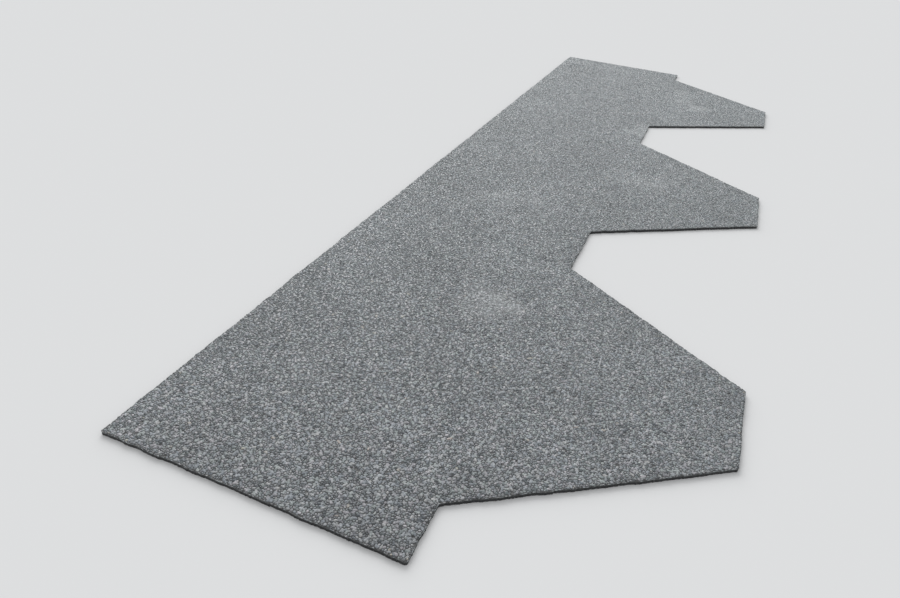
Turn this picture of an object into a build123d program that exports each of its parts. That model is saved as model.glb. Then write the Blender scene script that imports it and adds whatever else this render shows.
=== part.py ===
from build123d import *
import os

# One strip of asphalt roofing shingle with hexagonal tabs, lying flat with its
# mineral face up. All sizes are in millimetres.
# +X runs along the course, +Y up the roof slope, +Z out of the mineral face.
# The origin is under the middle of the strip, on the surface that it lies on.

# The strip as it is sold
strip_length = 1000.0
strip_height = 318.0
sheet_thickness = 3.0

# The tabs that stay in sight once the next course is nailed over the head
tab_count = 3
tab_foot = 72.0
cutout_depth = 137.5

# What the cutting drum leaves: its bent blade can't turn a dead sharp corner,
# and it draws the face down a little along every cut
blade_corner_radius = 1.5
face_edge_radius = 0.4

# Two strips are cut from one sheet, tabs between tabs and with no offcut, so
# the head of a cut-out is exactly the foot of the other strip's tab.
tab_pitch = strip_length / tab_count
cutout_head = tab_foot
slant_run = (tab_pitch - tab_foot - cutout_head) / 2

foot_line = -strip_height / 2
cutout_top = foot_line + cutout_depth


def cutout_outline(centre_x):
    """The trapezoid between two tabs, carried on past the foot line.

    Both slants keep their direction below the foot line, so the cut comes out
    of the sheet cleanly.
    """
    past = cutout_depth / 4
    half_head = cutout_head / 2
    half_mouth = half_head + slant_run * (cutout_depth + past) / cutout_depth
    mouth_y = foot_line - past
    return make_face(
        Polyline(
            (centre_x - half_head, cutout_top),
            (centre_x + half_head, cutout_top),
            (centre_x + half_mouth, mouth_y),
            (centre_x - half_mouth, mouth_y),
            close=True,
        )
    )


def strip_outline():
    """The blank with its row of cut-outs, one on each boundary between tabs.

    The strip's own ends lie on such a boundary too. They cut the first and the
    last cut-out in half, so butted strips close it to a whole one.
    """
    outline = Sketch() + Rectangle(strip_length, strip_height)
    for boundary in range(tab_count + 1):
        outline -= cutout_outline(boundary * tab_pitch - strip_length / 2)
    return fillet(outline.vertices(), blade_corner_radius)


def shingle_strip():
    """The cut sheet: one solid, with the drawn-down edge round its face."""
    sheet = extrude(strip_outline(), sheet_thickness)
    face = sheet.faces().sort_by(Axis.Z)[-1]
    return fillet(face.outer_wire().edges(), face_edge_radius)


strip = shingle_strip()
strip.label = "shingle_strip"

os.makedirs("parts", exist_ok=True)
export_step(strip, "parts/shingle_strip.step")

box = strip.bounding_box()
print("size", [round(side, 3) for side in box.size], "volume", round(strip.volume, 1))
print("face area", round(strip.volume / sheet_thickness / 1e6, 5), "m2")
print("tab pitch", round(tab_pitch, 3), "slant run", round(slant_run, 3))
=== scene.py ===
# %% [markdown]
# # A strip of asphalt shingle with hexagonal tabs
#
# The real thing is one sheet. A glass mat is soaked and coated in black bitumen,
# crushed stone is pressed into its face while the bitumen is hot, fine sand goes
# on its back, and then knives cut the row of tabs along one edge. Its size and
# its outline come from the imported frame. Everything made here is its finish: the
# stones of the face, the torn black edge and the sanded back.

# %% Load the frame
import math

import bpy
import numpy as np
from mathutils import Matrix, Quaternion, Vector
from mathutils.geometry import delaunay_2d_cdt


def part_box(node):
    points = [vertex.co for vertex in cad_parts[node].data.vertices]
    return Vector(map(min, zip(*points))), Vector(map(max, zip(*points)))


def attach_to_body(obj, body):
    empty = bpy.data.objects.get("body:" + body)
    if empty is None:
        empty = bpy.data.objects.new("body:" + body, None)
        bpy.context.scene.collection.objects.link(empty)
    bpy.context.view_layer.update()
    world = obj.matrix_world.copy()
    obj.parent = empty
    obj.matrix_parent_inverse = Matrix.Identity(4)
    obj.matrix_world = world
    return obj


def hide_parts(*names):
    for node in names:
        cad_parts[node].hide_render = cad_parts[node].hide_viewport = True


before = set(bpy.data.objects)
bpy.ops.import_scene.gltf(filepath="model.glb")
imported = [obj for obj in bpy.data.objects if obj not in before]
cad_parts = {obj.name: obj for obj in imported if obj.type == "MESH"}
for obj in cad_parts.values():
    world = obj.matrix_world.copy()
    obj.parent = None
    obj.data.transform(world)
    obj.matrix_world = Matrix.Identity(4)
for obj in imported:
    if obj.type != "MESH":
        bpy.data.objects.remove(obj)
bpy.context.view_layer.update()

low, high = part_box("shingle_strip")
length, height, thickness = high - low
mm = 0.001
print("strip in mm", round(length / mm), round(height / mm), round(thickness / mm, 2))

# %% [markdown]
# ## Where the photograph was taken from
#
# The strips of a roof repeat, so the corners of their tabs tell where the
# camera stood: a quarter of a metre above the sheet, beside its near end, and
# looking almost along the course with a wide lens and a slight tilt. The same
# lens, tilt and line of sight are used here. The camera only turns a few degrees
# to one side, so that the whole strip is in the picture. Standing further off
# with a longer lens would frame it as well, but would lose the strong
# perspective, in which the stones are large in front and melt together behind.

# %% Camera
photo_width = 900
photo_height = 598
lens_in_pixels = 669
eye = Vector((-0.671, -0.094, 0.267))
aim = Vector((-0.288, 0.047, 0.0))
tilt = math.radians(5)


def add_object(name, data):
    """A new object in the scene, made of that data."""
    made = bpy.data.objects.new(name, data)
    bpy.context.scene.collection.objects.link(made)
    return made


camera_data = bpy.data.cameras.new("camera")
camera_data.sensor_width = 36
camera_data.lens = camera_data.sensor_width * lens_in_pixels / photo_width
camera_data.clip_start = 0.01
camera = add_object("camera", camera_data)
camera.location = eye
camera.rotation_mode = "QUATERNION"
level_view = (aim - eye).to_track_quat("-Z", "Y")
camera.rotation_quaternion = level_view @ Quaternion((0, 0, 1), tilt)
bpy.context.scene.camera = camera
print("lens in mm", round(camera_data.lens, 1))


# %% Where the corners fall in the picture
def picture_place(point):
    """Where a point falls in the picture, in its pixels from the top left."""
    right, up, back = camera.matrix_world.inverted() @ Vector(point)
    x = photo_width / 2 + lens_in_pixels * right / -back
    y = photo_height / 2 - lens_in_pixels * up / -back
    return round(x), round(y)


bpy.context.view_layer.update()
# the first corner of the box is in a half cut-out, so the picture may leave it out
for corner in ((low.x, low.y), (high.x, low.y), (high.x, high.y), (low.x, high.y)):
    print("corner of the box", picture_place((*corner, 0)))

# %% [markdown]
# ## A pale floor and soft light
#
# The photograph has an overcast sky, whose light comes from everywhere and a
# little more from ahead of the camera. That is why the cut edges that face the
# camera are black lines. A bright even sky does most of it here. The rest comes
# from beyond the far end, on the head side, from a lamp of the kind that shines
# everywhere alike, set fifty degrees wide so that shadows stay soft. It stands
# low, so that the stones mirror it where the camera sees them at a low angle. A
# lamp at a fixed place would leave a bright patch on the floor and a dim horizon.
# This way the pale floor runs into the sky without a line.

# %% Floor
floor_reach = 300
floor_grey = (0.715, 0.718, 0.72)
shader_name = "Principled BSDF"


def plain_material(name, colour, roughness):
    """A material of one colour."""
    material = bpy.data.materials.new(name)
    material.use_nodes = True
    shader = material.node_tree.nodes[shader_name]
    shader.inputs["Base Color"].default_value = (*colour, 1)
    shader.inputs["Roughness"].default_value = roughness
    return material


floor_paint = plain_material("floor", floor_grey, 0.9)
floor_paint.node_tree.nodes[shader_name].inputs["Specular IOR Level"].default_value = 0
floor_mesh = bpy.data.meshes.new("floor")
four_corners = [(-1, -1), (1, -1), (1, 1), (-1, 1)]
floor_places = [(x * floor_reach, y * floor_reach, 0) for x, y in four_corners]
floor_mesh.from_pydata(floor_places, [], [(0, 1, 2, 3)])
floor_mesh.materials.append(floor_paint)
floor = add_object("floor", floor_mesh)
print("floor in m", 2 * floor_reach)

# %% Sky and lamp
toward_lamp = Vector((1.9, 1.2, 1.2))

world = bpy.data.worlds.new("sky")
bpy.context.scene.world = world
world.use_nodes = True
sky = world.node_tree.nodes["Background"]
sky.inputs["Color"].default_value = (0.98, 0.99, 1.0, 1)
sky.inputs["Strength"].default_value = 0.74

lamp_data = bpy.data.lights.new("wide_lamp", "SUN")
lamp_data.energy = 1.921
lamp_data.angle = math.radians(50)
lamp = add_object("wide_lamp", lamp_data)
lamp.rotation_mode = "QUATERNION"
lamp.rotation_quaternion = (-toward_lamp).to_track_quat("-Z", "Y")

bpy.context.scene.view_settings.view_transform = "Standard"
print("degrees from the floor to the lamp", round(math.degrees(math.asin(toward_lamp.normalized().z))))

# %% [markdown]
# ## The cut line
#
# The stones have to end exactly where the sheet was cut, so the outline is not
# drawn again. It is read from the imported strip: the triangles of its underside
# lie at height zero, and an edge that only one of them has is part of the
# outline. Chained end to end, those edges give the cut line in order, with the
# small round that the knife leaves in every corner.

# %% Outline of the frame's strip
def lone_edges(triangles):
    """The edges that only one triangle has, each in the direction it runs there."""
    start = triangles.ravel()
    end = np.roll(triangles, -1, 1).ravel()
    most = int(triangles.max()) + 1
    alone = ~np.isin(start * most + end, end * most + start)
    return np.column_stack([start[alone], end[alone]])


def chained(edges):
    """Closed lines of points, from edges that each lead to the next."""
    after = dict(edges.tolist())
    lines = []
    while after:
        here = next(iter(after))
        line = []
        while here in after:
            line.append(here)
            here = after.pop(here)
        lines.append(line)
    return lines


def outline_of(node_name):
    """The corners of a flat node's underside, in order, anticlockwise from above."""
    micron = 1e-6
    digits_of_a_place = 7
    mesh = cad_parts[node_name].data
    places = np.array([v.co for v in mesh.vertices])
    mesh.calc_loop_triangles()
    corners = np.array([t.vertices[:] for t in mesh.loop_triangles])
    under = corners[(np.abs(places[corners][:, :, 2]) < micron).all(1)]
    rounded = np.round(places[:, :2], digits_of_a_place)
    spots, same = np.unique(rounded, axis=0, return_inverse=True)
    seen_from_above = same.reshape(-1)[under][:, ::-1]
    return spots[chained(lone_edges(seen_from_above))[0]]


outline = outline_of("shingle_strip")
ahead = np.roll(outline, -1, 0)
face_area = (outline[:, 0] * ahead[:, 1] - ahead[:, 0] * outline[:, 1]).sum() / 2
print("outline corners", len(outline), "area in m2", round(face_area, 5))

# %% [markdown]
# ## A knife cut through stones
#
# A blade does not part a stone cleanly. It pushes some aside and breaks others,
# so the edge wanders by some tenths of a millimetre and here and there by a whole
# one: slowly where the sheet gave way, every few millimetres where warm bitumen
# tore, and sharply at each stone. Points about a millimetre apart follow the
# outline, and three kinds of noise move them in or out. All lean inwards, which
# keeps the strip within its real size.

# %% Points along the cut
rng = np.random.default_rng(11)
cut_spacing = 1.0 * mm
spacing_jitter = 0.2


def walk(line, spacing):
    """Points along a closed line, their way out of it and their share of the way round."""
    closed = np.vstack([line, line[:1]])
    reach = np.concatenate([[0], np.cumsum(np.linalg.norm(np.diff(closed, axis=0), axis=1))])
    count = round(reach[-1] / spacing)
    share = (np.arange(count) + rng.uniform(-spacing_jitter, spacing_jitter, count)) / count % 1
    points = np.stack([np.interp(share * reach[-1], reach, closed[:, i]) for i in (0, 1)], 1)
    along = np.roll(points, -1, 0) - np.roll(points, 1, 0)
    along /= np.linalg.norm(along, axis=1)[:, None]
    return points, np.stack([along[:, 1], -along[:, 0]], 1), share


def slow_noise(share, swings):
    """Soft random numbers from -1 to 1 that close up after one round."""
    knots = rng.uniform(-1, 1, swings)
    place = share * swings
    before = place.astype(int) % swings
    t = place % 1
    t = t * t * (3 - 2 * t)
    return knots[before] * (1 - t) + knots[(before + 1) % swings] * t


# %% Move them as the blade did
# how far the edge moves, in how many swings round the strip, and its lean inwards
wander = (0.30 * mm, 70, 0.6)
tearing = (0.34 * mm, 430, 0.5)
chipping = 0.14 * mm
chipping_lean = 0.6

cut, way_out, share_round = walk(outline, cut_spacing)
cut_count = len(cut)
offset = np.zeros(cut_count)
for reach, swings, lean in (wander, tearing):
    offset += reach * (slow_noise(share_round, swings) - lean)
offset += chipping * (rng.uniform(-1, 1, cut_count) - chipping_lean)
cut = cut + way_out * offset[:, None]
print("points along the cut", cut_count, "moved in by up to mm", round(-offset.min() / mm, 2))

# %% [markdown]
# ## Where each stone sits
#
# The granules are crushed stone between half a millimetre and two millimetres
# wide, pressed in so tightly that each one nearly touches all its neighbours.
# Scattered spheres would overlap and leave gaps. A better model is a field of
# cells: scatter points, and let each stone own the ground that is nearest to it.
# One random point in every square of a fine grid gives cells of uneven size
# without empty places, and pulling each a part of the way to the middle of its
# neighbours takes out the slivers.

# %% Which points lie inside a line, and how deep
def within(line, points):
    """Which points a closed line goes round, by the edges to the right of each."""
    inside = np.zeros(len(points), bool)
    x, y = points.T
    for (ax, ay), (bx, by) in zip(line, np.roll(line, -1, 0)):
        if ay != by:
            passes = (ay > y) != (by > y)
            inside ^= passes & (x < ax + (y - ay) * (bx - ax) / (by - ay))
    return inside


def depth_in(line, points):
    """How far each point is from a closed line, negative outside it."""
    nearest = np.full(len(points), np.inf)
    for a, b in zip(line, np.roll(line, -1, 0)):
        along = b - a
        share = np.clip((points - a) @ along / (along @ along), 0, 1)
        gap = points - a - share[:, None] * along
        nearest = np.minimum(nearest, np.hypot(gap[:, 0], gap[:, 1]))
    return np.where(within(line, points), nearest, -nearest)


# %% Scatter points
near_the_cut = 2.0 * mm


def scattered(spacing, clearance):
    """Random points inside the cut, one in each square of a grid."""
    squares = np.meshgrid(np.arange(low.x, high.x, spacing), np.arange(low.y, high.y, spacing))
    points = np.stack(squares, -1).reshape(-1, 2)
    points += rng.uniform(0, spacing, points.shape)
    depth = depth_in(outline, points)
    near = (depth > 0) & (depth < near_the_cut)
    depth[near] = depth_in(cut, points[near])
    return points[depth > clearance]


# %% Join points to triangles
def turning(corners):
    """Twice the area of each flat triangle, negative where its corners run clockwise."""
    a, b, c = corners.transpose(1, 0, 2)
    return (b - a)[:, 0] * (c - a)[:, 1] - (b - a)[:, 1] * (c - a)[:, 0]


def filled(points, rim_count):
    """Triangles that fill the closed line of the first points, with the others as corners too."""
    keep_all = 0
    merge_within = 1e-9
    rim = np.column_stack([np.arange(rim_count), np.roll(np.arange(rim_count), -1)]).tolist()
    flat_points = [Vector(p) for p in points.tolist()]
    found = delaunay_2d_cdt(flat_points, rim, [], keep_all, merge_within, False)
    if len(found[0]) != len(points):
        print("warning: a line crosses itself,", len(points), "points became", len(found[0]))
    triangles = np.array(found[2], np.int64)
    triangles = triangles[(triangles < len(points)).all(1)]
    bare = np.flatnonzero((triangles < rim_count).all(1))
    outside = bare[~within(points[:rim_count], points[triangles[bare]].mean(1))]
    triangles = np.delete(triangles, outside, 0)
    clockwise = turning(points[triangles]) < 0
    triangles[clockwise] = triangles[clockwise][:, ::-1]
    return triangles


def evened(points, share):
    """Moves every point but those of the cut towards the middle of its triangles."""
    triangles = filled(points, cut_count)
    index = triangles.ravel()
    around = np.bincount(index, minlength=len(points)).clip(1)
    centres = np.repeat(points[triangles].mean(1), 3, 0)
    target = np.stack([np.bincount(index, c, len(points)) / around for c in centres.T], 1)
    moved = points + share * (target - points)
    moved[:cut_count] = points[:cut_count]
    return moved


# %% Middles of the stones
stone_count = 140_000
clearance_from_cut = 0.45 * mm
evening = 0.6

loose = scattered(math.sqrt(face_area / stone_count), clearance_from_cut)
sites = evened(np.vstack([cut, loose]), evening)
site_count = len(sites)
triangles = filled(sites, cut_count)
meetings = sites[triangles].mean(1)
print("stones", len(loose), "triangles between them", len(triangles))

# %% [markdown]
# ## Stones from cells
#
# Every triangle between three neighbouring stones has its middle where their
# cracks meet. Joining those middles round a stone gives its foot, and a peak
# somewhere above it gives five to seven flat facets, like a chip from a crusher.
# That is only six triangles a stone, so every stone of the strip can be real
# geometry. The facets are found from the edges between the stones' middles: an
# edge with a triangle on both sides gives one facet to each of its two stones,
# and an edge of the cut gives one to its own.

# %% Facets round every stone
start = triangles.ravel()
end = np.roll(triangles, -1, 1).ravel()
its_triangle = np.repeat(np.arange(len(triangles)), 3)
forward = start * site_count + end
backward = end * site_count + start
order = np.argsort(forward)
spot = np.searchsorted(forward[order], backward).clip(0, len(order) - 1)
two_sided = forward[order][spot] == backward
once = two_sided & (start < end)
site_a, site_b = start[once], end[once]
left_of, right_of = its_triangle[once], its_triangle[order][spot][once]
rim_a, rim_b, rim_of = start[~two_sided], end[~two_sided], its_triangle[~two_sided]

facets = np.vstack([
    np.column_stack([site_a, right_of + site_count, left_of + site_count]),
    np.column_stack([site_b, left_of + site_count, right_of + site_count]),
    np.column_stack([rim_a, rim_b, rim_of + site_count]),
])
facet_site = np.concatenate([site_a, site_b, rim_a])
print("facets", len(facets))

# %% [markdown]
# ## How high the stones stand
#
# A real granule lies on its flattest side with its point up, and larger ones
# stand higher. So each peak is a little off the middle of its stone, and its
# height goes with the stone's width. A few stones have come off and left a black
# pit. Along the cut the blade broke some stones down to the bitumen, and between
# the ones it left there are cracks, so the cut draws heights of its own.

# %% Peaks of the stones
peak_off_middle = 0.3
narrowest = 0.4
widest = 1.5

around = np.bincount(start, minlength=site_count)
to_meeting = np.linalg.norm(meetings[its_triangle] - sites[start], axis=1)
radius = np.bincount(start, to_meeting, site_count) / around
width = np.clip(radius / np.median(radius), narrowest, widest)

off_middle = rng.uniform(-peak_off_middle, peak_off_middle, (site_count, 2))
peaks = sites + off_middle * radius[:, None]
peaks[:cut_count] = sites[:cut_count]
# a peak that stands outside its own foot would fold a facet over
overhanging = np.unique(facet_site[turning(np.vstack([peaks, meetings])[facets]) <= 0])
peaks[overhanging] = sites[overhanging]
print("stones with their peak moved back to the middle", len(overhanging))

# %% Heights over the face
bitumen_level = 2.40 * mm
least_rise = 0.18 * mm
stone_rise = 0.34 * mm
missing_share = 0.012
pit_levels = (-0.16, 0.02)

rise_share = rng.uniform(0.5, 1.0, site_count)
peak_z = bitumen_level + least_rise + stone_rise * width * rise_share
gone = rng.uniform(0, 1, site_count) < missing_share
peak_z[gone] = bitumen_level + rng.uniform(*pit_levels, gone.sum()) * mm
print("missing stones", gone.sum())

# %% Heights along the cut, and of the cracks
broken_share = 0.30
switch_chance = 0.8
broken_levels = (-0.20, 0.08)
whole_levels = (0.22, 0.48)
crack_drop = 0.24
crack_depth = 0.10 * mm

broken = rng.uniform(0, 1, cut_count) < broken_share
# going along the cut, most points switch between a stone and the gap beside it
between = np.cumsum(rng.uniform(0, 1, cut_count) < switch_chance) % 2 == 1
broken_z = rng.uniform(*broken_levels, cut_count)
whole_z = rng.uniform(*whole_levels, cut_count) - crack_drop * between
peak_z[:cut_count] = bitumen_level + np.where(broken, broken_z, whole_z) * mm
peak_z = np.minimum(peak_z, thickness)
crack_z = bitumen_level + crack_depth * rng.uniform(0, 1, len(triangles))
print("highest peak in mm", round(peak_z.max() / mm, 2), "lowest", round(peak_z.min() / mm, 2))

# %% [markdown]
# ## Large and small stones
#
# Cells of one size would look like a pattern, and real granules come through a
# range of sieves. Larger stones could be made with a second, wider scatter. It is
# simpler to let some neighbours grow together: every edge between two stones
# draws a number, and a pair joins where its number is the highest for both, so
# that no stone joins twice. The two share one colour, and the crack between them
# is raised to a low ridge.

# %% Let neighbours grow together
joined_share = 0.45
ridge_share = 0.65

luck = rng.uniform(0, 1, len(site_a))
luckiest = np.zeros(site_count)
np.maximum.at(luckiest, site_a, luck)
np.maximum.at(luckiest, site_b, luck)
joined = (luck == luckiest[site_a]) & (luck == luckiest[site_b]) & (luck > 1 - joined_share)
joined &= (site_a >= cut_count) & (site_b >= cut_count) & ~gone[site_a] & ~gone[site_b]
stone_of = np.arange(site_count)
stone_of[site_b[joined]] = site_a[joined]
ridge_z = (peak_z[site_a] + peak_z[site_b])[joined] / 2
for side in (left_of[joined], right_of[joined]):
    crack_z[side] += ridge_share * (ridge_z - crack_z[side])
print("pairs that grew together", joined.sum())

# %% Points of the face, and what their material will read
points = np.vstack([np.column_stack([peaks, peak_z]), np.column_stack([meetings, crack_z])])
relief = np.clip((points[:, 2] - bitumen_level) / (thickness - bitumen_level), 0, 1)
shade = rng.uniform(0, 1, site_count)[stone_of]
print("points of the face", len(points))

# %% [markdown]
# ## The colours of crushed stone
#
# The face is mid grey from a distance and made of every grey up close. Most
# granules are stone coated in a dark ceramic glaze, some broke after the glaze
# and show a paler inside, and a rare one is white or tan. So each stone draws
# one number, and a ramp with hard steps turns the number into one of those
# kinds. Smooth blending between them would look like noise instead of like
# separate stones. A second number, taken from the same one, picks a slight tint in
# the same way, and later says how glossy and how dusty the stone is. The sky makes
# pale stones look bluer than dark ones, so the paler glazes have less blue.

# %% Helpers for materials
def node(tree, kind, inputs=None, **settings):
    """A new node with its settings, and its inputs set to a number or linked to an output."""
    made = tree.nodes.new(kind)
    for name, value in settings.items():
        setattr(made, name, value)
    for name, value in (inputs or {}).items():
        if isinstance(value, bpy.types.NodeSocket):
            tree.links.new(value, made.inputs[name])
        else:
            made.inputs[name].default_value = value
    return made


def started(name, colour, roughness):
    """A plain material, its tree, its shader, and the place on the object that textures go by."""
    material = plain_material(name, colour, roughness)
    tree = material.node_tree
    where = node(tree, "ShaderNodeTexCoord").outputs["Object"]
    return material, tree, tree.nodes[shader_name], where


def attribute(tree, name):
    """A number that the mesh carries under that name."""
    return node(tree, "ShaderNodeAttribute", attribute_name=name).outputs["Fac"]


def noise(tree, where, scale, detail, roughness):
    """A cloudy number around one half, with that many swings in a metre."""
    inputs = {"Vector": where, "Scale": scale, "Detail": detail, "Roughness": roughness}
    return node(tree, "ShaderNodeTexNoise", inputs).outputs["Fac"]


def rescaled(tree, value, before, after=(0.0, 1.0)):
    """A number moved softly from one range to another and held at the ends."""
    inputs = {"Value": value}
    inputs["From Min"], inputs["From Max"] = before
    inputs["To Min"], inputs["To Max"] = after
    made = node(tree, "ShaderNodeMapRange", inputs, interpolation_type="SMOOTHSTEP")
    return made.outputs["Result"]


def calculated(tree, operation, *numbers):
    """One number worked out from others."""
    return node(tree, "ShaderNodeMath", dict(enumerate(numbers)), operation=operation).outputs[0]


def opaque(colour):
    """A colour with its fourth number, which a node asks for, or an output as it is."""
    return colour if isinstance(colour, bpy.types.NodeSocket) else (*colour, 1)


def mixed(tree, share, first, second, blend="MIX"):
    """One colour over another, by a share from 0 to 1."""
    inputs = {0: share, 6: opaque(first), 7: opaque(second)}
    return node(tree, "ShaderNodeMix", inputs, data_type="RGBA", blend_type=blend).outputs[2]


def stepped(tree, value, tones):
    """A colour that jumps from one tone to the next at each tone's place."""
    ramp = node(tree, "ShaderNodeValToRGB", {"Fac": value})
    ramp.color_ramp.interpolation = "CONSTANT"
    while len(ramp.color_ramp.elements) < len(tones):
        ramp.color_ramp.elements.new(1)
    for element, (place, colour) in zip(ramp.color_ramp.elements, tones):
        element.position = place
        element.color = opaque(colour)
    return ramp.outputs["Color"]


def bumped(tree, shape, strength, depth):
    """Lets a texture tilt the surface as if it stood that deep."""
    bump = node(tree, "ShaderNodeBump", {"Height": shape, "Strength": strength, "Distance": depth})
    tree.links.new(bump.outputs["Normal"], tree.nodes[shader_name].inputs["Normal"])


def grey(level, blue=1.13):
    """A grey with that much more blue than red, as the whole face has some."""
    return (level, level * (1 + blue) / 2, level * blue)


# %% Kinds of stone
# each kind begins at its place between 0 and 1 and reaches to the next: five
# glazes from dark to mid grey, broken stone, and last a rare tan and a rare white
stone_tones = [
    (0.000, grey(0.076, 1.28)),
    (0.075, grey(0.144, 1.21)),
    (0.200, grey(0.214, 1.155)),
    (0.440, grey(0.262, 1.12)),
    (0.740, grey(0.303, 1.09)),
    (0.940, grey(0.362, 1.06)),
    (0.995, (0.370, 0.350, 0.318)),
    (0.997, grey(0.700, 1.00)),
]
# each fifth of the stones leans another way: pink, tan, not at all, green, blue
stone_tints = [
    (0.0, (1.035, 0.972, 0.992)),
    (0.2, (1.025, 1.000, 0.970)),
    (0.4, (1.000, 1.000, 1.000)),
    (0.6, (0.975, 1.025, 0.980)),
    (0.8, (0.975, 1.000, 1.030)),
]
shuffle = 977.0


def kinds_of_stone(tree):
    """Each stone's tinted tone, and its second number."""
    stone = attribute(tree, "stone")
    second = calculated(tree, "FRACT", calculated(tree, "MULTIPLY", stone, shuffle))
    tint = stepped(tree, second, stone_tints)
    return mixed(tree, 1.0, stepped(tree, stone, stone_tones), tint, "MULTIPLY"), second


print("kinds of stone", len(stone_tones))

# %% [markdown]
# ## What lies in and over the stones
#
# Up close no stone is one flat tone, so a fine grain darkens parts of each and
# roughens it. Across many stones the face drifts a little paler and darker,
# which two slow noises do. The cracks and the pits are bitumen, which the
# height of the surface tells, and the same grain speckles it. The same dark
# also fades up the low flanks of every stone, which is painted shade. Dust,
# which the photograph shows as faint pale clouds, lies over all of it, a hand's
# width across, and more of it stays on some stones than on others.

# %% Grain, clouds, cracks and dust
grain_scale = 1900
grain_dark = (0.07, 0.07, 0.073)
most_grain = 0.35
# how many swings in a metre, and how much paler or darker each makes the face
clouds = ((11, 0.12), (110, 0.10))
# heights, as shares of the relief, over which tar and painted shade on the stones' low flanks give way
# to the stone's own colour
tar_and_shade_heights = (0.11, 0.44)
tar_dark = (0.012, 0.012, 0.013)
tar_pale = (0.055, 0.056, 0.058)
dust_scale = 8.5
dust_edge = (0.59, 0.73)
most_dust = 0.52
least_caught = 0.25
dust_colour = (0.62, 0.63, 0.635)


def grained(tree, grain, colour):
    """Dark grain within each stone."""
    return mixed(tree, rescaled(tree, grain, (0.35, 0.75), (0.0, most_grain)), colour, grain_dark)


def clouded(tree, where, colour):
    """Slow drifts of the tone over many stones."""
    for scale, swing in clouds:
        cloud = rescaled(tree, noise(tree, where, scale, detail=3.0, roughness=0.6), (0.3, 0.7))
        drift = mixed(tree, cloud, [1 - swing] * 3, [1 + swing] * 3)
        colour = mixed(tree, 1.0, colour, drift, "MULTIPLY")
    return colour


def with_tar_and_painted_shade(tree, grain, colour):
    """Speckled tar where the surface is low: the bitumen of the cracks and pits, and painted shade
    fading up the low flanks of the stones.
    """
    tar = mixed(tree, rescaled(tree, grain, (0.42, 0.62)), tar_dark, tar_pale)
    # below the first height it is the tar of cracks and pits, and up to the second it is painted shade
    # on the stone
    return mixed(tree, rescaled(tree, attribute(tree, "relief"), tar_and_shade_heights), tar, colour)


def dusted(tree, where, second, colour):
    """Pale dust in a few clouds, more of it on stones whose second number is high."""
    cloud = noise(tree, where, dust_scale, detail=4.0, roughness=0.5)
    lying = rescaled(tree, cloud, dust_edge, (0.0, most_dust))
    caught = rescaled(tree, second, (0.3, 1.0), (least_caught, 1.0))
    return mixed(tree, calculated(tree, "MULTIPLY", lying, caught), colour, dust_colour)


print("millimetres across one swing of the dust", round(1 / dust_scale / mm))

# %% [markdown]
# ## Why the far end is paler
#
# The far end of the photograph is paler and a little cooler than the near end,
# though the stones are the same. Two things do that at a low angle. The glaze
# mirrors the sky, so the stones are only moderately rough. A thin film of dust
# catches the light, and the shader's sheen stands for it, in the cool tone of an
# overcast sky.

# %% Material of the face
gloss_range = (0.31, 0.53)
film_of_dust = 1.0
film_colour = (0.86, 1.0, 1.0)
film_roughness = 0.3


def granule_material():
    """Stones of several kinds, with grain, clouds, cracks, dust and a dusty film."""
    # textures take the place of this grey and this roughness
    material, tree, shader, where = started("granules", (0.2, 0.2, 0.2), 0.6)
    colour, second = kinds_of_stone(tree)
    grain = noise(tree, where, grain_scale, detail=3.0, roughness=0.6)
    colour = clouded(tree, where, grained(tree, grain, colour))
    colour = dusted(tree, where, second, with_tar_and_painted_shade(tree, grain, colour))
    tree.links.new(colour, shader.inputs["Base Color"])
    gloss = rescaled(tree, second, (0.0, 1.0), gloss_range)
    tree.links.new(gloss, shader.inputs["Roughness"])
    shader.inputs["Sheen Weight"].default_value = film_of_dust
    shader.inputs["Sheen Tint"].default_value = opaque(film_colour)
    shader.inputs["Sheen Roughness"].default_value = film_roughness
    bumped(tree, grain, strength=0.5, depth=0.06 * mm)
    return material


granules = granule_material()
print("nodes in the stones' material", len(granules.node_tree.nodes))

# %% [markdown]
# ## Cut bitumen and sanded back
#
# The cut face is bitumen with stone dust stirred in: nearly black, a little
# shiny where the blade smeared it, and dotted with crumbs that it tore. The back
# was pressed into fine sand so that strips do not stick together in their pack,
# which leaves a dull dark grey skin. Both are finer than anything worth modelling,
# so textures make them, as colour and as bumps. Crumbs in bitumen are rare, so a
# noise shows them where it peaks. Sand is grain beside grain, which a noise would
# turn into worms. A Voronoi texture gives each grain a cell with a grey of its
# own, and the distance to the cell's middle makes the grain bulge.

# %% Cut bitumen
bitumen_black = grey(0.013)
crumb_grey = grey(0.055)
crumb_scale = 2600
crumbs_above = 0.63
crumb_edge = 0.04


def bitumen_material():
    """Pale crumbs on an uneven black, with bumps of the same noise."""
    material, tree, shader, where = started("cut_bitumen", bitumen_black, 0.55)
    fine = noise(tree, where, crumb_scale, detail=2.0, roughness=0.55)
    crumbs = rescaled(tree, fine, (crumbs_above - crumb_edge, crumbs_above + crumb_edge))
    smears = noise(tree, where, crumb_scale / 6, detail=3.0, roughness=0.6)
    darker = [0.6 * part for part in bitumen_black]
    paler = [1.4 * part for part in bitumen_black]
    ground = mixed(tree, smears, darker, paler)
    tree.links.new(mixed(tree, crumbs, ground, crumb_grey), shader.inputs["Base Color"])
    bumped(tree, fine, strength=0.8, depth=0.12 * mm)
    return material


bitumen = bitumen_material()
print("nodes in the bitumen", len(bitumen.node_tree.nodes))

# %% Sanded back
sand_scale = 2300
sand_tones = [
    (0.00, grey(0.045)),
    (0.30, grey(0.070)),
    (0.62, grey(0.100)),
    (0.86, grey(0.150)),
    (0.97, grey(0.260)),
]
gap_grey = grey(0.030)
patch_scale = 45
patch_dark = (0.78, 0.78, 0.78)
patch_pale = (1.12, 1.12, 1.12)


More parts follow.
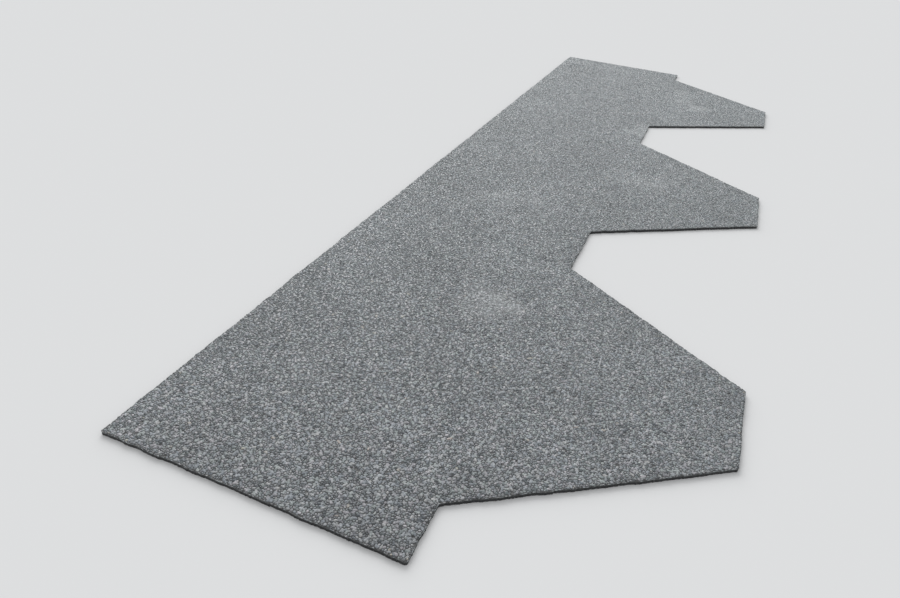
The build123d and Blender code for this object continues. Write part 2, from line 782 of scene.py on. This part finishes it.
def sand_material():
    """Grain beside grain, each with a tone of its own, with dark gaps and uneven patches."""
    material, tree, shader, where = started("sanded_back", grey(0.08), 0.85)
    cells = node(tree, "ShaderNodeTexVoronoi", {"Vector": where, "Scale": sand_scale})
    from_middle = cells.outputs["Distance"]
    chance = node(tree, "ShaderNodeSeparateColor", {"Color": cells.outputs["Color"]}).outputs["Red"]
    colour = stepped(tree, chance, sand_tones)
    colour = mixed(tree, rescaled(tree, from_middle, (0.45, 0.72)), colour, gap_grey)
    patch = rescaled(tree, noise(tree, where, patch_scale, detail=4.0, roughness=0.6), (0.35, 0.65))
    colour = mixed(tree, 1.0, colour, mixed(tree, patch, patch_dark, patch_pale), "MULTIPLY")
    tree.links.new(colour, shader.inputs["Base Color"])
    bulge = rescaled(tree, from_middle, (0.0, 0.8), (1.0, 0.0))
    bumped(tree, bulge, strength=0.7, depth=0.12 * mm)
    return material


sand = sand_material()
print("grains of sand in ten millimetres", round(sand_scale * 10 * mm))

# %% [markdown]
# ## Closing each piece
#
# A face alone would be a skin without thickness. Each lane of stones gets a
# short skirt down to a level inside the sheet and a flat lid there, so that it
# is a solid that could be held. The lid has hundreds of corners and deep bays,
# which is too much to trust to one many-sided face, so it is cut into triangles
# between its own corners first. Along the cut the skirt ends on a line of its
# own, which the sheet below shares.

# %% The line where skirt and sheet join
join_level = 2.0 * mm
join_offsets = (-0.12, 0.04)

join = cut + way_out * rng.uniform(*join_offsets, cut_count)[:, None] * mm
print("mm from the join up to the stones", round((bitumen_level - join_level) / mm, 2))


# %% Make a piece of its triangles
def solid_piece(name, places, triangles, uv, materials, slots):
    """A piece of flat triangles with its map, its materials and its place in the frame."""
    mesh = bpy.data.meshes.new(name)
    mesh.vertices.add(len(places))
    mesh.vertices.foreach_set("co", places.astype(np.float32).ravel())
    mesh.loops.add(triangles.size)
    mesh.loops.foreach_set("vertex_index", triangles.astype(np.int32).ravel())
    mesh.polygons.add(len(triangles))
    mesh.polygons.foreach_set("loop_start", np.arange(0, triangles.size, 3, dtype=np.int32))
    mesh.polygons.foreach_set("material_index", slots.astype(np.int32))
    mesh.polygons.foreach_set("use_smooth", np.zeros(len(triangles), bool))
    for material in materials:
        mesh.materials.append(material)
    layer = mesh.uv_layers.new(name="OFBake")
    layer.uv.foreach_set("vector", uv.astype(np.float32).ravel())
    mesh.update(calc_edges=True)
    piece = add_object(name, mesh)
    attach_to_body(piece, "root")
    return piece


# %% [markdown]
# ## Maps that use the whole square
#
# Every piece needs a map for its colours. A lane is a metre long and forty-five
# to eighty millimetres wide, and laid out whole it would use less than a tenth
# of a square picture. Folded like a paper strip, in rows that lie one above the
# other, it fills the square, and every stone gets more than ten times as many
# pixels. The folds run along cracks, where they cannot be seen. The skirt is a
# long ribbon and is folded too, and the lid, which nobody sees, gets the little
# that is left.

# %% Fold a lane on its map
map_gap = 1.0 * mm
fewest_rows = 2
most_rows = 8


def folded(points, row_of, room):
    """A map of points in rows one above the other, and how many metres it is wide."""
    rows = row_of.max() + 1
    left = np.array([points[row_of == r, 0].min() for r in range(rows)])
    reach = max(points[row_of == r, 0].max() - left[r] for r in range(rows))
    bottom = points[:, 1].min()
    pitch = points[:, 1].max() - bottom + 1.5 * map_gap
    across = max(reach + 2 * map_gap, rows * pitch / room)
    x = points[:, 0] - left[row_of] + map_gap
    y = points[:, 1] - bottom + row_of * pitch + map_gap / 2
    return np.column_stack([x, y]) / across, across


def best_folded(site_x, corners, room):
    """The folding of a lane that leaves its map the least empty, and its rows."""
    tries = []
    for rows in range(fewest_rows, most_rows + 1):
        row = ((site_x - low.x) / length * rows).astype(int).clip(0, rows - 1)
        if len(np.unique(row)) == rows:
            tries.append((*folded(corners, np.repeat(row, 3), room), rows))
    return min(tries, key=lambda attempt: attempt[1])


# %% Lay ribbons and lids on a map
ribbon_left = 0.005
ribbon_width = 0.985
ribbon_fill = 0.7
flat_left = 0.01
flat_width = 0.98


def ribbon(lengths, bottom, top, across):
    """A long ribbon in rows between two heights: each piece's left, bottom and height."""
    run = np.concatenate([[0], np.cumsum(lengths)[:-1]]) / across
    wide = ribbon_width - lengths.max() / across
    row = (run / wide).astype(int)
    pitch = (top - bottom) / (row.max() + 1)
    return ribbon_left + run - row * wide, bottom + row * pitch, ribbon_fill * pitch


def side_corners(left, right, bottom, top):
    """The map of two triangles that make each upright side."""
    upper = [left, top, left, bottom, right, bottom]
    lower = [left, top, right, bottom, right, top]
    return np.column_stack(upper + lower).reshape(-1, 2)


def laid_flat(at, bottom, tall, from_y, reach_y):
    """The map of points as they lie seen from above, in a band as wide as the map."""
    return np.column_stack([
        flat_left + flat_width * (at[:, 0] - low.x) / length,
        bottom + tall * (at[:, 1] - from_y) / reach_y,
    ])


# %% [markdown]
# ## Lanes of stones
#
# The face has more than eight hundred thousand facets, too many for one piece,
# so it is laid in six lanes that run the length of the strip, as the hoppers of
# the machine lay it. Neighbouring lanes share every point of the crack between
# them, so no seam shows. The first lane holds only the feet of the tabs and gets
# fewer stones, because the gaps between the feet take room on its map.

# %% Share the stones out
lane_shares = [0.12, 0.176, 0.176, 0.176, 0.176, 0.176]

lane_tops = np.quantile(sites[:, 1], np.cumsum(lane_shares)[:-1])
lane_of_site = np.searchsorted(lane_tops, sites[:, 1])
print("widths of the inner lanes in mm", np.round(np.diff(lane_tops) / mm))

# %% Skirt, lid and map of a lane
face_room = 0.92
skirt_room = (0.925, 0.975)
lid_bottom = 0.98
lid_tall = 0.015


def skirt_and_lid(lines, below, places):
    """Both ends of every edge of the rim, the sides down from them, and the lid of the foot."""
    a = np.concatenate(lines)
    b = np.concatenate([np.roll(line, -1) for line in lines])
    skirt = np.column_stack([a, below[a], below[b], a, below[b], b]).reshape(-1, 3)
    lids = []
    for line in lines:
        under = below[line]
        lids.append(under[filled(places[under, :2], len(under))][:, ::-1])
    return a, b, skirt, np.vstack(lids)


def lane_map(site_x, face_at, steps, lid_at):
    """The face in rows, the skirt as a ribbon above them and the lid along the top."""
    face_uv, across, rows = best_folded(site_x, face_at, face_room)
    left, bottom, tall = ribbon(steps, *skirt_room, across)
    skirt_uv = side_corners(left, left + steps / across, bottom, bottom + tall)
    lid_uv = laid_flat(lid_at, lid_bottom, lid_tall, lid_at[:, 1].min(), np.ptp(lid_at[:, 1]))
    return np.vstack([face_uv, skirt_uv, lid_uv]), across, rows


def attach(piece, name, domain, numbers):
    """Stores one number for every face or point, where the material can read it."""
    layer = piece.data.attributes.new(name, "FLOAT", domain)
    layer.data.foreach_set("value", numbers.astype(np.float32))


# %% Build the lanes
def granule_lane(number):
    """One lane: its facets, a skirt down from their rim and a lid."""
    mine = lane_of_site[facet_site] == number
    used, corners = np.unique(facets[mine], return_inverse=True)
    corners = corners.reshape(-1, 3)
    lines = chained(lone_edges(corners))
    rim = np.unique(np.concatenate(lines))
    foot = points[used[rim]]
    foot[:, 2] = join_level
    on_cut = used[rim] < cut_count
    foot[on_cut, :2] = join[used[rim][on_cut]]
    places = np.vstack([points[used], foot])
    below = np.full(len(used), -1)
    below[rim] = len(used) + np.arange(len(rim))

    a, b, skirt, lid = skirt_and_lid(lines, below, places)
    face_at = places[corners.ravel(), :2]
    steps = np.linalg.norm(places[b, :2] - places[a, :2], axis=1)
    uv, across, rows = lane_map(sites[facet_site[mine], 0], face_at, steps, places[lid.ravel(), :2])

    # sides along the cut are the broken flanks of their stones, the others are bitumen
    inner = (used[a] >= cut_count) | (used[b] >= cut_count)
    skirt_shade = np.repeat(shade[np.where(inner, 0, used[a])], 2)
    slots = np.concatenate([np.zeros(len(corners)), np.repeat(inner, 2), np.ones(len(lid))])
    name = f"granule_lane_{number + 1}"
    piece = solid_piece(name, places, np.vstack([corners, skirt, lid]), uv, [granules, bitumen], slots)
    tones = np.concatenate([shade[facet_site[mine]], skirt_shade, np.zeros(len(lid))])
    attach(piece, "stone", "FACE", tones)
    attach(piece, "relief", "POINT", np.append(relief[used], np.zeros(len(rim))))
    print(name, "triangles", len(slots), "rows", rows, "mm on the map", round(across / mm))
    return piece


lanes = [granule_lane(number) for number in range(len(lane_shares))]

# %% [markdown]
# ## The sheet below
#
# What is left is the black core with its torn edge. The blade drags downwards,
# so the edge is grooved from top to bottom rather than pitted evenly: every
# point of the cut keeps one offset in all its rows and only adds a little of its
# own. The lowest row draws in, where the sanded skin is crushed round.

# %% Rows of the torn edge
row_levels = [2.0, 1.6, 1.15, 0.7, 0.25, 0.0]
groove = 0.10 * mm
groove_lean = 0.8
crumble = 0.07 * mm
crumble_lean = 0.5
draw_in = 0.12 * mm

own = groove * (rng.uniform(-1, 1, cut_count) - groove_lean)
rings = [join]
for level in row_levels[1:]:
    offset = own + crumble * (rng.uniform(-1, 1, cut_count) - crumble_lean)
    if level == 0:
        offset = offset - draw_in
    rings.append(cut + way_out * offset[:, None])
sheet_places = np.vstack([
    np.column_stack([ring, np.full(cut_count, level * mm)]) for ring, level in zip(rings, row_levels)
])
print("the back draws in from the cut by up to mm", round(-offset.min() / mm, 2))

# %% Walls between the rows
wall_room = (0.34, 0.84)
wall_across = 0.125

here = np.arange(cut_count)
there = np.roll(here, -1)
steps = np.linalg.norm(cut[there] - cut[here], axis=1)
left, bottom, tall = ribbon(steps, *wall_room, wall_across)
right = left + steps / wall_across
walls = []
wall_uv = []
for row in range(len(rings) - 1):
    upper = row * cut_count
    lower = upper + cut_count
    a, b, c, d = here + upper, here + lower, there + lower, there + upper
    walls.append(np.column_stack([a, b, c, a, c, d]).reshape(-1, 3))
    top = bottom + tall * row_levels[row] / row_levels[0]
    foot = bottom + tall * row_levels[row + 1] / row_levels[0]
    wall_uv.append(side_corners(left, right, foot, top))
print("triangles in the edge", sum(len(wall) for wall in walls))

# %% Build the sheet
sheet_lid_bottom = 0.85
sheet_lid_tall = 0.14
back_bottom = 0.01
back_tall = flat_width * height / length

lid = filled(rings[0], cut_count)
back = filled(rings[-1], cut_count)[:, ::-1] + (len(rings) - 1) * cut_count
lid_at = sheet_places[lid.ravel(), :2]
back_at = sheet_places[back.ravel(), :2]
lid_uv = laid_flat(lid_at, sheet_lid_bottom, sheet_lid_tall, low.y, height)
back_uv = laid_flat(back_at, back_bottom, back_tall, low.y, height)
sheet_triangles = np.vstack([*walls, lid, back])
sheet_uv = np.vstack([*wall_uv, lid_uv, back_uv])
slots = np.concatenate([np.zeros(len(sheet_triangles) - len(back)), np.ones(len(back))])
sheet = solid_piece("bitumen_sheet", sheet_places, sheet_triangles, sheet_uv, [bitumen, sand], slots)
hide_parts("shingle_strip")
print("bitumen_sheet triangles", len(slots))
print("triangles in all", sum(len(piece.data.polygons) for piece in [*lanes, sheet]))
